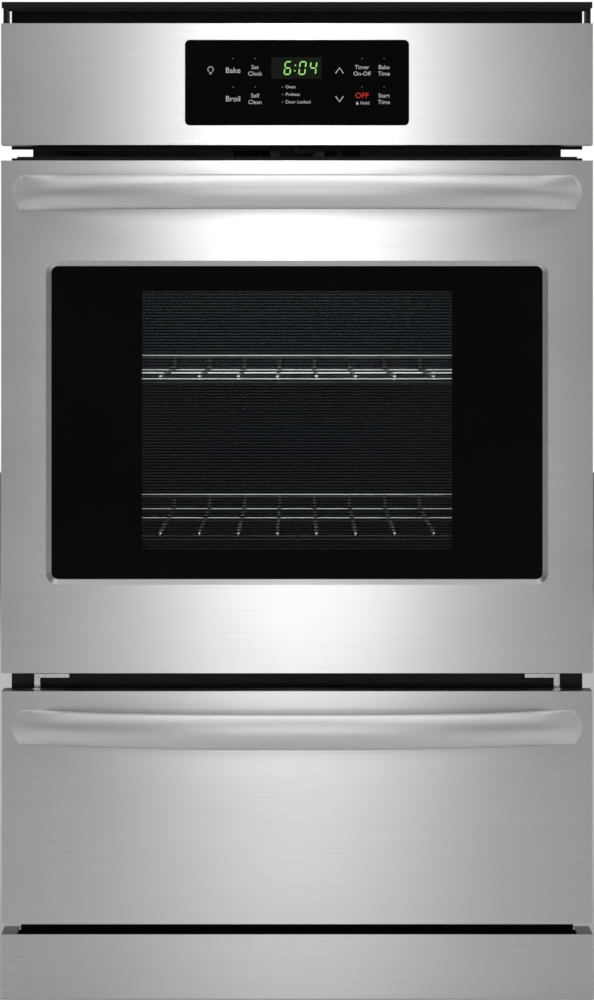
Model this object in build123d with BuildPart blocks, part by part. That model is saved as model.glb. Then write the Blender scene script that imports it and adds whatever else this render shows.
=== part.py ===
from build123d import *

import os

# Built-in gas wall oven, 24 inch class, with a broiler drawer below the oven.
#
# Frame: +X to the right, +Y to the back, +Z up, in millimetres. The origin lies on the underside of the
# base pan, in the middle of the width, in the plane of the kitchen cabinet's face (the back of the front
# frame). Front faces are at y = -front_depth and the carcass runs back to y = body_depth.

os.makedirs("parts", exist_ok=True)

# ---- driving dimensions: widths and depths
front_width = 606.0  # control panel, door and kick panel
frame_width = 592.0  # black frame that covers the cabinet cut-out
body_width = 548.0  # carcass that enters the cut-out
body_depth = 530.0
front_depth = 44.0  # front faces stand this far ahead of the cabinet face
shell_depth = 28.0  # folded depth of the door and drawer shells
sheet = 1.2
frame_sheet = 2.0

# ---- driving dimensions: heights, from the floor of the oven upwards
kick_height = 66.0
kick_gap = 10.5
drawer_height = 238.5
drawer_gap = 18.5
door_height = 525.0
panel_gap = 16.0
panel_height = 124.5
vent_gap = 16.0
trim_height = 6.5

drawer_bottom = kick_height + kick_gap
drawer_top = drawer_bottom + drawer_height
door_bottom = drawer_top + drawer_gap
door_top = door_bottom + door_height
panel_bottom = door_top + panel_gap
panel_top = panel_bottom + panel_height
trim_bottom = panel_top + vent_gap
trim_top = trim_bottom + trim_height
body_height = trim_bottom - 5.0
half_front = front_width / 2
half_frame = frame_width / 2
half_body = body_width / 2
inner_half = half_body - sheet
back_y = body_depth + sheet
front_y = -front_depth

# ---- oven cavity
liner_width = 457.0
liner_depth = 475.0
liner_sill = 51.5  # cavity floor above the door's lower edge
liner_head = 43.5  # cavity ceiling below the door's upper edge
liner_height = door_height - liner_sill - liner_head
flange_width = 22.0
liner_bottom = door_bottom + liner_sill
liner_top = liner_bottom + liner_height
liner_half = liner_width / 2
liner_front_y = -frame_sheet
liner_back_y = liner_depth - frame_sheet
flange_front_y = -2 * frame_sheet

# ---- racks
rack_levels = (1, 4)  # which rib pair each rack rests on
rib_count = 6
first_rib = 24.7  # underside of a rack on the lowest rib, above the cavity floor
rib_headroom = 132.8  # from a rack on the top rib to the cavity ceiling
rib_pitch = (liner_height - first_rib - rib_headroom) / (rib_count - 1)
rib_height = 7.0
rib_reach = 12.0
rack_wire = 6.0
grid_wire = 4.0
rack_side_gap = 3.5
rack_front_y = 26.0
rack_depth = 402.0
rack_middle = 254.0  # middle cross wire behind the front bar
rack_guard = 13.0  # rise of the rear guard
grid_pitch = 41.0
grid_count = 10

# ---- door
door_liner_inset = 16.0
door_back_y = -8.0
window_width = 503.5
window_above_bottom = 96.0
window_below_top = 108.0
window_height = door_height - window_above_bottom - window_below_top
window_radius = 7.0
bezel_width = 5.5
bezel_depth = 2.5
glass_lap = 7.0
outer_glass_sheet = 4.0
view_width = 330.0
view_height = window_height - 41.0
view_rise = 121.5  # opening in the door liner, above the door's lower edge
gasket_clearance = 0.3

# ---- hinges
pivot_y = -24.0
pivot_rise = 11.5
hinge_x = 235.0
arm_sheet = 4.0
arm_half_height = 6.5
pin_radius = 3.0
running_gap = 0.05
pivot_z = door_bottom + pivot_rise

# ---- handles
handle_length = 584.0
handle_height = 35.0
handle_bow = 50.0
handle_end_sagitta = 8.0
handle_thickness = 12.0
handle_shoulder = 150.0  # half length of the nearly straight middle
door_handle_drop = 33.0  # handle centre below the door's upper edge
drawer_handle_drop = 36.6

# ---- drawer
opening_half = 258.0
box_half = 235.0
box_rise = 18.5
box_height = 175.0
box_back_y = 430.0
slide_z = drawer_bottom + 91.0
channel_height = 35.0
channel_flange = 14.0
rear_roller_radius = 15.0
front_roller_radius = 10.0
roller_width = 8.0

# ---- control panel
glass_width = 229.0
glass_height = 87.1
glass_rise = 20.2
glass_radius = 5.0
panel_glass_sheet = 4.0

# ---- top vent and latch
slot_top = 4.0  # slot tops below the control panel
slot_height = 26.0
latch_z = panel_bottom - 6.0
latch_hole_radius = 4.8
latch_shaft_radius = 3.5
latch_y = -20.0

# ---- fixings
mount_hole_radius = 2.75
mount_hole_inset = 10.0
mount_low = 66.5  # lower pair above the door's lower edge
mount_spacing = 400.0
conduit_radius = 11.0
gas_pipe_radius = 10.65
gas_x = 190.0
gas_z = 120.0


def block(x0, x1, y0, y1, z0, z1, mode=Mode.ADD):
    """A box between two corners, in the builder that is open."""
    with Locations(((x0 + x1) / 2, (y0 + y1) / 2, (z0 + z1) / 2)):
        Box(x1 - x0, y1 - y0, z1 - z0, mode=mode)


def rod(centre, radius, length, axis="X", mode=Mode.ADD):
    """A cylinder centred on a point, along X, Y or Z, in the builder that is open."""
    turn = {"X": (0, 90, 0), "Y": (90, 0, 0), "Z": (0, 0, 0)}[axis]
    with Locations(Location(centre, turn)):
        Cylinder(radius, length, mode=mode)


def facing(y):
    """The vertical plane at y whose normal points forward, with local x along X and local y along Z."""
    return Plane.XZ.offset(-y)


def write(part, name):
    part.label = name
    export_step(part, f"parts/{name}.step")


# ================= carcass =================
screw_rows = [body_height * share for share in (0.06, 0.35, 0.65, 0.94)]
screw_inset = 8.0
screw_points = [(side * (half_body - screw_inset), z) for side in (-1, 1) for z in screw_rows]
screw_shank = 1.8
screw_hole = 2.1
flange_return = 16.0
switch_x, switch_z = 264.0, door_top - 14.0
plunger_radius = 3.0


def side_panel(side):
    """Flat side sheet with inward flanges at the front and back; side is -1 for left."""
    outer, inner = side * half_body, side * inner_half
    lip = side * (half_body - flange_return)
    with BuildPart() as panel:
        block(min(outer, inner), max(outer, inner), 0, body_depth, 0, body_height)
        for y0, y1 in ((0, sheet), (body_depth - sheet, body_depth)):
            block(min(inner, lip), max(inner, lip), y0, y1, 0, body_height)
        for x, z in screw_points:
            if x * side > 0:
                rod((x, body_depth, z), screw_hole, 10, "Y", Mode.SUBTRACT)
        if side > 0:
            rod((switch_x, 0, switch_z), plunger_radius + 0.6, 10, "Y", Mode.SUBTRACT)
    return panel.part


write(side_panel(-1), "side_panel_left")
write(side_panel(1), "side_panel_right")

louvre_width, louvre_pitch, louvre_count = 120.0, 14.0, 5
conduit_x, conduit_z = -180.0, panel_bottom + 55.0
with BuildPart() as back_panel:
    block(-half_body, half_body, body_depth, back_y, 0, body_height)
    for x, z in screw_points:
        rod((x, back_y, z), screw_hole, 10, "Y", Mode.SUBTRACT)
    rod((gas_x, back_y, gas_z), gas_pipe_radius + 4, 10, "Y", Mode.SUBTRACT)
    rod((conduit_x, back_y, conduit_z), conduit_radius, 10, "Y", Mode.SUBTRACT)
    with BuildSketch(facing(back_y)):
        with Locations((40, panel_bottom + 82)):
            with GridLocations(louvre_width + 25, louvre_pitch, 2, louvre_count):
                SlotOverall(louvre_width, 5)
    extrude(amount=5, both=True, mode=Mode.SUBTRACT)
back_panel.part.label = "back_panel"
export_step(back_panel.part, "parts/back_panel.step")

with BuildPart() as top_panel:
    block(-half_body, half_body, 0, back_y, body_height, body_height + sheet)
    with BuildSketch(Plane.XY.offset(body_height)):
        with Locations((0, body_depth * 0.62)):
            with GridLocations(90, 16, 4, 6):
                SlotOverall(60, 5)
    extrude(amount=5, both=True, mode=Mode.SUBTRACT)
top_panel.part.label = "top_panel"
export_step(top_panel.part, "parts/top_panel.step")

pan_lip = 24.0
with BuildPart() as base_pan:
    block(-inner_half, inner_half, sheet, body_depth - sheet, 0, sheet)
    block(-inner_half + 20, inner_half - 20, -1.5, sheet, 0, sheet)
    for y0 in (sheet, body_depth - 2 * sheet):
        block(-inner_half + 16, inner_half - 16, y0, y0 + sheet, 0, pan_lip)
base_pan.part.label = "base_pan"
export_step(base_pan.part, "parts/base_pan.step")

slot_z = panel_bottom - slot_top - slot_height / 2
vent_slots = [(-251.0, -115.0), (-109.0, -17.0), (17.0, 109.0), (115.0, 251.0)]
arm_slot_half = 5.5
arm_slot_height = 22.0
notch_low, notch_high = half_body - 0.5, 286.5
with BuildPart() as front_frame:
    block(-half_frame, half_frame, -frame_sheet, 0, 2, trim_bottom)
    block(-opening_half, opening_half, -5, 5, drawer_bottom + 4, drawer_top - 3, Mode.SUBTRACT)
    liner_cut = liner_half + sheet + 0.5
    block(-liner_cut, liner_cut, -5, 5, liner_bottom - sheet - 0.5, liner_top + sheet + 0.5, Mode.SUBTRACT)
    for side in (-1, 1):
        for inner, z0, z1 in (
            (notch_low, door_top + 4, panel_bottom - 3),
            (notch_high, kick_height - 4, drawer_bottom + 2),
        ):
            near, far = side * inner, side * (half_frame + 5)
            block(min(near, far), max(near, far), -5, 5, z0, z1, Mode.SUBTRACT)
        x = side * hinge_x
        block(x - arm_slot_half, x + arm_slot_half, -5, 5, pivot_z - arm_slot_height / 2,
              pivot_z + arm_slot_height / 2, Mode.SUBTRACT)
        for rise in (mount_low, mount_low + mount_spacing):
            rod((side * (half_frame - mount_hole_inset), 0, door_bottom + rise), mount_hole_radius, 12, "Y",
                Mode.SUBTRACT)
    with BuildSketch(facing(5)):
        for x0, x1 in vent_slots:
            with Locations(((x0 + x1) / 2, slot_z)):
                RectangleRounded(x1 - x0, slot_height, 5)
    extrude(amount=10, mode=Mode.SUBTRACT)
    rod((0, 0, latch_z), latch_hole_radius, 12, "Y", Mode.SUBTRACT)
    rod((switch_x, 0, switch_z), plunger_radius + 0.6, 12, "Y", Mode.SUBTRACT)
front_frame.part.label = "front_frame"
export_step(front_frame.part, "parts/front_frame.step")

# Black cover strip over the vent gap: a top plate with a front lip and two end returns.
trim_front_y = front_y + 6.0
return_sheet = 4.0
with BuildPart() as top_trim:
    block(-half_front, half_front, trim_front_y, 0, trim_top - 2, trim_top)
    block(-half_front, half_front, trim_front_y, trim_front_y + 2, trim_bottom, trim_top - 2)
    block(-half_frame, half_frame, -2, 0, trim_bottom, trim_top - 2)
    for side in (-1, 1):
        outer, inner = side * (half_front - 1.5), side * (half_front - 1.5 - return_sheet)
        block(min(outer, inner), max(outer, inner), trim_front_y + 2, -2, panel_top + 0.3, trim_top - 2)
    rib = 1.5
    block(-half_front + 6, half_front - 6, trim_front_y + 2, trim_front_y + 2 + rib, trim_bottom - 3,
          trim_bottom + 3)
top_trim.part.label = "top_trim"
export_step(top_trim.part, "parts/top_trim.step")

# Stainless kick panel: a front plate with folded sides, a bottom lip and a short tab at each top corner.
with BuildPart() as kick_panel:
    block(-half_front, half_front, front_y, front_y + sheet, 0, kick_height)
    for side in (-1, 1):
        outer, inner = side * half_front, side * (half_front - sheet)
        block(min(outer, inner), max(outer, inner), front_y + sheet, -2, 0, kick_height)
        tab = side * (notch_high + 0.5)
        block(min(inner, tab), max(inner, tab), front_y + sheet, -2, kick_height - sheet, kick_height)
    block(-half_front + sheet, half_front - sheet, front_y + sheet, -2, 0, sheet)
kick_panel.part.label = "kick_panel"
export_step(kick_panel.part, "parts/kick_panel.step")

# ================= oven cavity =================
liner_out = liner_half + sheet
heat_half_x, heat_y0, heat_y1 = 170.0, 90.0, 400.0
lamp_x, lamp_z, lamp_hole = -150.0, liner_top - 55.0, 24.0
probe_x, probe_z, probe_radius = 120.0, liner_top - 45.0, 3.0
flue_x, flue_y, flue_half_x, flue_half_y = 0.0, 380.0, 60.0, 20.0
rack_bottoms = [liner_bottom + first_rib + rib_pitch * level for level in range(rib_count)]
with BuildPart() as oven_liner:
    block(-liner_out, liner_out, liner_front_y, liner_back_y + sheet, liner_bottom - sheet, liner_top + sheet)
    block(-liner_half, liner_half, liner_front_y, liner_back_y, liner_bottom, liner_top, Mode.SUBTRACT)
    block(-liner_out - flange_width, liner_out + flange_width, flange_front_y, liner_front_y,
          liner_bottom - flange_width, liner_top + flange_width)
    block(-liner_half, liner_half, flange_front_y - 1, liner_front_y + 1, liner_bottom, liner_top, Mode.SUBTRACT)
    for side in (-1, 1):
        wall, tip = side * liner_half, side * (liner_half - rib_reach)
        for z in rack_bottoms:
            block(min(wall, tip), max(wall, tip), 8, liner_back_y, z - rib_height, z)
    block(-heat_half_x, heat_half_x, heat_y0, heat_y1, liner_bottom - 5, liner_bottom + 1, Mode.SUBTRACT)
    rod((lamp_x, liner_back_y, lamp_z), lamp_hole, 20, "Y", Mode.SUBTRACT)
    rod((probe_x, liner_back_y, probe_z), probe_radius + 0.5, 20, "Y", Mode.SUBTRACT)
    block(flue_x - flue_half_x, flue_x + flue_half_x, flue_y - flue_half_y, flue_y + flue_half_y, liner_top - 2,
          liner_top + 5, Mode.SUBTRACT)
oven_liner.part.label = "oven_liner"
export_step(oven_liner.part, "parts/oven_liner.step")

with BuildPart() as oven_floor:
    block(-liner_half + 14, liner_half - 14, 12, liner_back_y - 12, liner_bottom, liner_bottom + sheet)
    with BuildSketch(Plane.XY.offset(liner_bottom)):
        with Locations((0, (heat_y0 + heat_y1) / 2)):
            with GridLocations(2 * heat_half_x - 30, 44, 2, 7):
                SlotOverall(34, 6, rotation=90)
    extrude(amount=3, both=True, mode=Mode.SUBTRACT)
oven_floor.part.label = "oven_floor"
export_step(oven_floor.part, "parts/oven_floor.step")

wool = 30.0
wool_gap = 1.0
with BuildPart() as insulation_blanket:
    wool_in = liner_out + wool_gap
    block(-wool_in - wool, wool_in + wool, 4, liner_back_y + sheet + wool_gap + wool, liner_bottom,
          liner_top + sheet + wool_gap + wool)
    block(-wool_in, wool_in, 3, liner_back_y + sheet + wool_gap, liner_bottom - 1, liner_top + sheet + wool_gap,
          Mode.SUBTRACT)
    rod((lamp_x, liner_back_y + 20, lamp_z), lamp_hole + 8, 80, "Y", Mode.SUBTRACT)
    rod((probe_x, liner_back_y + 20, probe_z), 10, 80, "Y", Mode.SUBTRACT)
    block(flue_x - flue_half_x - 3, flue_x + flue_half_x + 3, flue_y - flue_half_y - 3, flue_y + flue_half_y + 3,
          liner_top, liner_top + 60, Mode.SUBTRACT)
    block(switch_x - 12, switch_x + 12, 3, 45, switch_z - 20, switch_z + 12, Mode.SUBTRACT)
insulation_blanket.part.label = "insulation_blanket"
export_step(insulation_blanket.part, "parts/insulation_blanket.step")

lamp_base_y = liner_back_y + sheet
with BuildPart() as lamp_lens:
    with Locations(Location((lamp_x, liner_back_y, lamp_z), (90, 0, 0))):
        Cylinder(30, 4, align=(Align.CENTER, Align.CENTER, Align.MIN))
        Cylinder(26, 16, align=(Align.CENTER, Align.CENTER, Align.MIN))
        Cylinder(23, 13.5, align=(Align.CENTER, Align.CENTER, Align.MIN), mode=Mode.SUBTRACT)
    fillet(lamp_lens.edges().filter_by(GeomType.CIRCLE).sort_by(Axis.Y)[0], 5)
lamp_lens.part.label = "lamp_lens"
export_step(lamp_lens.part, "parts/lamp_lens.step")

with BuildPart() as lamp_socket:
    rod((lamp_x, lamp_base_y + 0.6, lamp_z), 30, 1.2, "Y")
    rod((lamp_x, lamp_base_y + 15, lamp_z), 15, 28, "Y")
    rod((lamp_x, lamp_base_y + 5, lamp_z), 7, 12, "Y", Mode.SUBTRACT)
lamp_socket.part.label = "lamp_socket"
export_step(lamp_socket.part, "parts/lamp_socket.step")

with BuildPart() as lamp_bulb:
    rod((lamp_x, lamp_base_y + 1, lamp_z), 6.6, 12, "Y")
    with Locations((lamp_x, lamp_base_y - 8, lamp_z)):
        Sphere(5.5)
lamp_bulb.part.label = "lamp_bulb"
export_step(lamp_bulb.part, "parts/lamp_bulb.step")

with BuildPart() as temperature_probe:
    rod((probe_x, liner_back_y - 40, probe_z), probe_radius, 130, "Y")
    block(probe_x - 10, probe_x + 10, lamp_base_y, lamp_base_y + 0.8, probe_z - 8, probe_z + 8)
temperature_probe.part.label = "temperature_probe"
export_step(temperature_probe.part, "parts/temperature_probe.step")

# ================= burner box, between the cavity and the drawer =================
shield_z = drawer_top + 3.0
burner_z = liner_bottom - 30.0
with BuildPart() as broiler_shield:
    block(-inner_half + 1, inner_half - 1, 14, 470, shield_z, shield_z + sheet)
    block(-heat_half_x, heat_half_x, heat_y0, heat_y1, shield_z - 5, shield_z + 5, Mode.SUBTRACT)
    block(-inner_half + 1, inner_half - 1, 470, 470 + sheet, shield_z - 60, shield_z + sheet)
    block(gas_x - 9, gas_x + 9, 438, 475, shield_z - 14, shield_z + 5, Mode.SUBTRACT)
broiler_shield.part.label = "broiler_shield"
export_step(broiler_shield.part, "parts/broiler_shield.step")

spread_half = heat_half_x - 20
burner_radius = 14.0
burner_front_y, burner_back_y = 110.0, 425.0
with BuildPart() as oven_burner:
    with BuildSketch(Plane.XZ.offset(-burner_back_y)):
        with Locations((0, burner_z)):
            Circle(burner_radius)
    extrude(amount=burner_back_y - burner_front_y)
    with BuildSketch(Plane.XZ.offset(-burner_back_y)):
        with Locations((0, burner_z)):
            Circle(burner_radius - 2)
    extrude(amount=burner_back_y - burner_front_y - 5, mode=Mode.SUBTRACT)
    for side in (-1, 1):
        for step in range(12):
            block(side * (burner_radius + 1) - 4, side * (burner_radius + 1) + 4, burner_front_y + 20 + 22 * step,
                  burner_front_y + 24 + 22 * step, burner_z - 1, burner_z + 1, Mode.SUBTRACT)
    for y0 in (burner_front_y + 4, burner_back_y - 30):
        block(-30, 30, y0, y0 + 4, shield_z - 2, burner_z - burner_radius + 2)
        block(-2, 2, y0, y0 + 4, burner_z + burner_radius - 1, burner_z + 19)
    with BuildSketch(facing(burner_back_y - 20)):
        with BuildLine():
            Polyline((-spread_half, burner_z + 14), (0, burner_z + 18), (spread_half, burner_z + 14),
                     (spread_half, burner_z + 15.2), (0, burner_z + 19.2), (-spread_half, burner_z + 15.2),
                     close=True)
        make_face()
    extrude(amount=burner_back_y - burner_front_y - 24)
oven_burner.part.label = "oven_burner"
export_step(oven_burner.part, "parts/oven_burner.step")

with BuildPart() as glow_igniter:
    block(24, 44, 200, 260, burner_z - 8, burner_z + 6)
    block(26, 42, 210, 250, burner_z - 3, burner_z + 10, Mode.SUBTRACT)
    block(31, 37, 205, 255, burner_z + 0, burner_z + 3)
glow_igniter.part.label = "glow_igniter"
export_step(glow_igniter.part, "parts/glow_igniter.step")

valve_y0, valve_y1 = 436.0, 462.0
with BuildPart() as gas_valve:
    block(-26, 26, valve_y0, valve_y1, burner_z - 18, burner_z + 18)
    rod((0, valve_y0 - 6, burner_z), 6, 12, "Y")
    rod((0, valve_y0 - 10, burner_z), 1.2, 12, "Y", Mode.SUBTRACT)
    rod((38, (valve_y0 + valve_y1) / 2, burner_z), 9, 24, "X")
gas_valve.part.label = "gas_valve"
export_step(gas_valve.part, "parts/gas_valve.step")

regulator_y, regulator_z = 494.0, 208.0
with BuildPart() as gas_regulator:
    rod((gas_x, regulator_y, regulator_z), 13, 44, "Z")
    rod((gas_x - 4, regulator_y, regulator_z + 2), 26, 24, "Z")
    rod((gas_x - 4, regulator_y, regulator_z + 16), 18, 10, "Z")
    rod((gas_x + 27, regulator_y, regulator_z), 5, 12, "X")
gas_regulator.part.label = "gas_regulator"
export_step(gas_regulator.part, "parts/gas_regulator.step")

lever_x = gas_x + 33.0
with BuildPart() as shutoff_lever:
    with BuildSketch(Plane.YZ.offset(lever_x)):
        with Locations((regulator_y, regulator_z)):
            Circle(6)
        with Locations((regulator_y, regulator_z - 14)):
            Rectangle(8, 28)
        with Locations((regulator_y, regulator_z - 28)):
            Circle(4)
    extrude(amount=3)
shutoff_lever.part.label = "shutoff_lever"
export_step(shutoff_lever.part, "parts/shutoff_lever.step")

valve_mid_y = (valve_y0 + valve_y1) / 2
pipe_bend = 12.0
feed_radius = 6.0
with BuildPart() as gas_pipe:
    with BuildLine() as inlet_line:
        FilletPolyline((gas_x, back_y + 22, gas_z), (gas_x, regulator_y, gas_z),
                       (gas_x, regulator_y, regulator_z - 22), radius=20)
    with BuildSketch(Plane(origin=inlet_line.line @ 0, z_dir=inlet_line.line % 0)):
        Circle(gas_pipe_radius)
    sweep()
    with BuildLine() as feed_line:
        FilletPolyline((gas_x, regulator_y, regulator_z + 22), (gas_x, regulator_y, burner_z - 40),
                       (gas_x, valve_mid_y, burner_z - 40), (gas_x, valve_mid_y, burner_z),
                       (50, valve_mid_y, burner_z), radius=pipe_bend)
    with BuildSketch(Plane(origin=feed_line.line @ 0, z_dir=feed_line.line % 0)):
        Circle(feed_radius)
    sweep()
gas_pipe.part.label = "gas_pipe"
export_step(gas_pipe.part, "parts/gas_pipe.step")

flue_top = panel_bottom + 20.0
with BuildPart() as flue_duct:
    x, y = flue_half_x + 1.2, flue_half_y + 1.2
    block(flue_x - x, flue_x + x, flue_y - y, flue_y + y, liner_top + sheet, flue_top)
    block(flue_x - flue_half_x, flue_x + flue_half_x, flue_y - flue_half_y, flue_y + flue_half_y, liner_top,
          flue_top - sheet, Mode.SUBTRACT)
    block(flue_x - flue_half_x, flue_x + flue_half_x, flue_y - y - 1, flue_y, flue_top - 28, flue_top - sheet,
          Mode.SUBTRACT)
flue_duct.part.label = "flue_duct"
export_step(flue_duct.part, "parts/flue_duct.step")

# ================= cooling blower above the cavity =================
blower_y, blower_z0, blower_z1 = 190.0, liner_top + 42.0, liner_top + 96.0
wheel_radius = 52.0
with BuildPart() as blower_housing:
    block(-70, 70, blower_y - 80, blower_y + 68, blower_z0, blower_z1)
    block(-68, 68, blower_y - 81, blower_y + 66, blower_z0 + 2, blower_z1 - 2, Mode.SUBTRACT)
    rod((0, blower_y, blower_z1), 42, 10, "Z", Mode.SUBTRACT)
blower_housing.part.label = "blower_housing"
export_step(blower_housing.part, "parts/blower_housing.step")

with BuildPart() as blower_motor:
    for x0, x1 in ((-45, -37), (37, 45)):
        block(x0, x1, blower_y - 4, blower_y + 4, blower_z1, blower_z1 + 25)
    block(-45, 45, blower_y - 4, blower_y + 4, blower_z1 + 24, blower_z1 + 27)
    rod((0, blower_y, blower_z1 + 12), 24, 26, "Z")
    rod((0, blower_y, blower_z1 - 20), 3, 42, "Z")
blower_motor.part.label = "blower_motor"
export_step(blower_motor.part, "parts/blower_motor.step")

blade_count = 20
with BuildPart() as blower_wheel:
    floor_z, top_z = blower_z0 + 7, blower_z1 - 8
    rod((0, blower_y, floor_z + 1), wheel_radius, 2, "Z")
    rod((0, blower_y, floor_z + 7), 8, 14, "Z")
    with Locations((0, blower_y, top_z - 1)):
        Cylinder(wheel_radius, 2)
        Cylinder(wheel_radius - 12, 2, mode=Mode.SUBTRACT)
    with Locations((0, blower_y, (floor_z + top_z) / 2)):
        with PolarLocations(wheel_radius - 6, blade_count):
            Box(11, 1.5, top_z - floor_z - 2, rotation=(0, 0, 25))
    rod((0, blower_y, floor_z + 7), 3 + running_gap, 40, "Z", Mode.SUBTRACT)
blower_wheel.part.label = "blower_wheel"
export_step(blower_wheel.part, "parts/blower_wheel.step")

# ================= door latch =================
with BuildPart() as latch_motor:
    block(-28, 28, 12, 60, latch_z - 9, latch_z + 30)
    rod((0, 12, latch_z), latch_shaft_radius + running_gap, 40, "Y", Mode.SUBTRACT)
latch_motor.part.label = "latch_motor"
export_step(latch_motor.part, "parts/latch_motor.step")

latch_reach = 16.0
with BuildPart() as latch_hook:
    rod((0, 3, latch_z), latch_shaft_radius, 56, "Y")
    block(0, latch_reach, latch_y - 5, latch_y - 1, latch_z - 2.5, latch_z + 2.5)
latch_hook.part.label = "latch_hook"
export_step(latch_hook.part, "parts/latch_hook.step")

# ================= door switch =================
switch_travel = 5.0
with BuildPart() as door_switch:
    block(switch_x - 8, switch_x + 8, sheet + 0.3, 30, switch_z - 14, switch_z + 8)
    rod((switch_x, 10, switch_z), plunger_radius + running_gap, 30, "Y", Mode.SUBTRACT)
door_switch.part.label = "door_switch"
export_step(door_switch.part, "parts/door_switch.step")

with BuildPart() as switch_plunger:
    rod((switch_x, 6, switch_z), plunger_radius, 2 * (6 - door_back_y - 0.3), "Y")
switch_plunger.part.label = "switch_plunger"
export_step(switch_plunger.part, "parts/switch_plunger.step")

# ================= control panel =================
glass_z = panel_bottom + glass_rise + glass_height / 2
with BuildPart() as control_panel:
    block(-half_front, half_front, front_y, front_y + shell_depth, panel_bottom, panel_top)
    block(-half_front + sheet, half_front - sheet, front_y + sheet, front_y + shell_depth + 1,
          panel_bottom + sheet, panel_top - sheet, Mode.SUBTRACT)
    with BuildSketch(facing(front_y + 5)):
        with Locations((0, glass_z)):
            RectangleRounded(glass_width + 0.6, glass_height + 0.6, glass_radius)
    extrude(amount=10, mode=Mode.SUBTRACT)
control_panel.part.label = "control_panel"
export_step(control_panel.part, "parts/control_panel.step")

with BuildPart() as panel_glass:
    with BuildSketch(facing(front_y + panel_glass_sheet - 0.5)):
        with Locations((0, glass_z)):
            RectangleRounded(glass_width, glass_height, glass_radius)
    extrude(amount=panel_glass_sheet)
panel_glass.part.label = "panel_glass"
export_step(panel_glass.part, "parts/panel_glass.step")

# Black housing that closes the panel from behind and shows as its dark lower edge.
with BuildPart() as control_housing:
    y0, y1 = front_y + shell_depth, -2.3
    block(-half_front + sheet, half_front - sheet, y0, y1, panel_bottom + sheet, panel_top - sheet)
    block(-half_front + 2 * sheet, half_front - 2 * sheet, y0 - 1, y1 - sheet, panel_bottom + 2 * sheet,
          panel_top - 2 * sheet, Mode.SUBTRACT)
control_housing.part.label = "control_housing"
export_step(control_housing.part, "parts/control_housing.step")

board_y = front_y + 14.0
with BuildPart() as control_board:
    block(-105, 105, board_y, board_y + 1.6, glass_z - 40, glass_z + 40)
    block(-26, 26, front_y + panel_glass_sheet, board_y, glass_z + 3, glass_z + 26)
    for x in (-80, -55, 50):
        block(x, x + 18, board_y + 1.6, board_y + 15, glass_z - 30, glass_z - 6)
    block(68, 98, board_y + 1.6, board_y + 20, glass_z - 2, glass_z + 30)
control_board.part.label = "control_board"
export_step(control_board.part, "parts/control_board.step")

with BuildPart() as junction_box:
    block(conduit_x - 45, conduit_x + 45, body_depth - 50, body_depth - 2 * sheet, conduit_z - 35, conduit_z + 35)
    block(conduit_x - 43, conduit_x + 43, body_depth - 48, body_depth + 1, conduit_z - 33, conduit_z + 33,
          Mode.SUBTRACT)
junction_box.part.label = "junction_box"
export_step(junction_box.part, "parts/junction_box.step")

# ================= hinges =================
with BuildPart() as hinge_arms:
    for side in (-1, 1):
        with BuildSketch(Plane.YZ.offset(side * hinge_x - arm_sheet / 2)):
            with Locations((pivot_y, pivot_z)):
                Circle(arm_half_height)
            with Locations(((pivot_y + 58) / 2, pivot_z)):
                Rectangle(58 - pivot_y, 2 * arm_half_height)
            with Locations((pivot_y, pivot_z)):
                Circle(pin_radius + running_gap, mode=Mode.SUBTRACT)
        extrude(amount=arm_sheet)
        x = side * hinge_x
        block(x - 9, x + 9, 6, 62, pivot_z - 14, pivot_z + 14)
hinge_arms.part.label = "hinge_arms"
export_step(hinge_arms.part, "parts/hinge_arms.step")

channel_half = 8.5
channel_top = pivot_z + 150.0
with BuildPart() as hinge_channels:
    for side in (-1, 1):
        x = side * hinge_x
        block(x - channel_half, x + channel_half, -33, -12, pivot_z - 5, channel_top)
        block(x - channel_half + 1.5, x + channel_half - 1.5, -31.5, -11, pivot_z - 6, channel_top - 1.5,
              Mode.SUBTRACT)
        rod((x, pivot_y, pivot_z), pin_radius, 2 * channel_half, "X")
hinge_channels.part.label = "hinge_channels"
export_step(hinge_channels.part, "parts/hinge_channels.step")

spring_radius, spring_wire = 4.5, 1.6
spring_low, spring_high = pivot_z + 40.0, pivot_z + 140.0
with BuildPart() as hinge_springs:
    for side in (-1, 1):
        for step in range(16):
            with Locations((side * hinge_x, pivot_y + 2, spring_low + step * 6.2)):
                Torus(spring_radius, spring_wire / 2)
        rod((side * hinge_x, pivot_y + 2, (spring_low + spring_high) / 2 - 3), spring_radius - spring_wire / 2 + 0.3,
            spring_high - spring_low + 2, "Z")
hinge_springs.part.label = "hinge_spring_rods"
export_step(hinge_springs.part, "parts/hinge_spring_rods.step")

# ================= door =================
liner_x = half_front - door_liner_inset
liner_z0, liner_z1 = door_bottom + 6.5, door_top - 4.0
window_z = door_bottom + window_above_bottom + window_height / 2
arm_well = 11.0


def arm_wells(z_top):
    """Room at the door's lower rear edge for the hinge arms as the door turns."""
    for side in (-1, 1):
        x = side * hinge_x
        block(x - arm_well, x + arm_well, -34, 0, door_bottom - 5, z_top, Mode.SUBTRACT)


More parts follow.
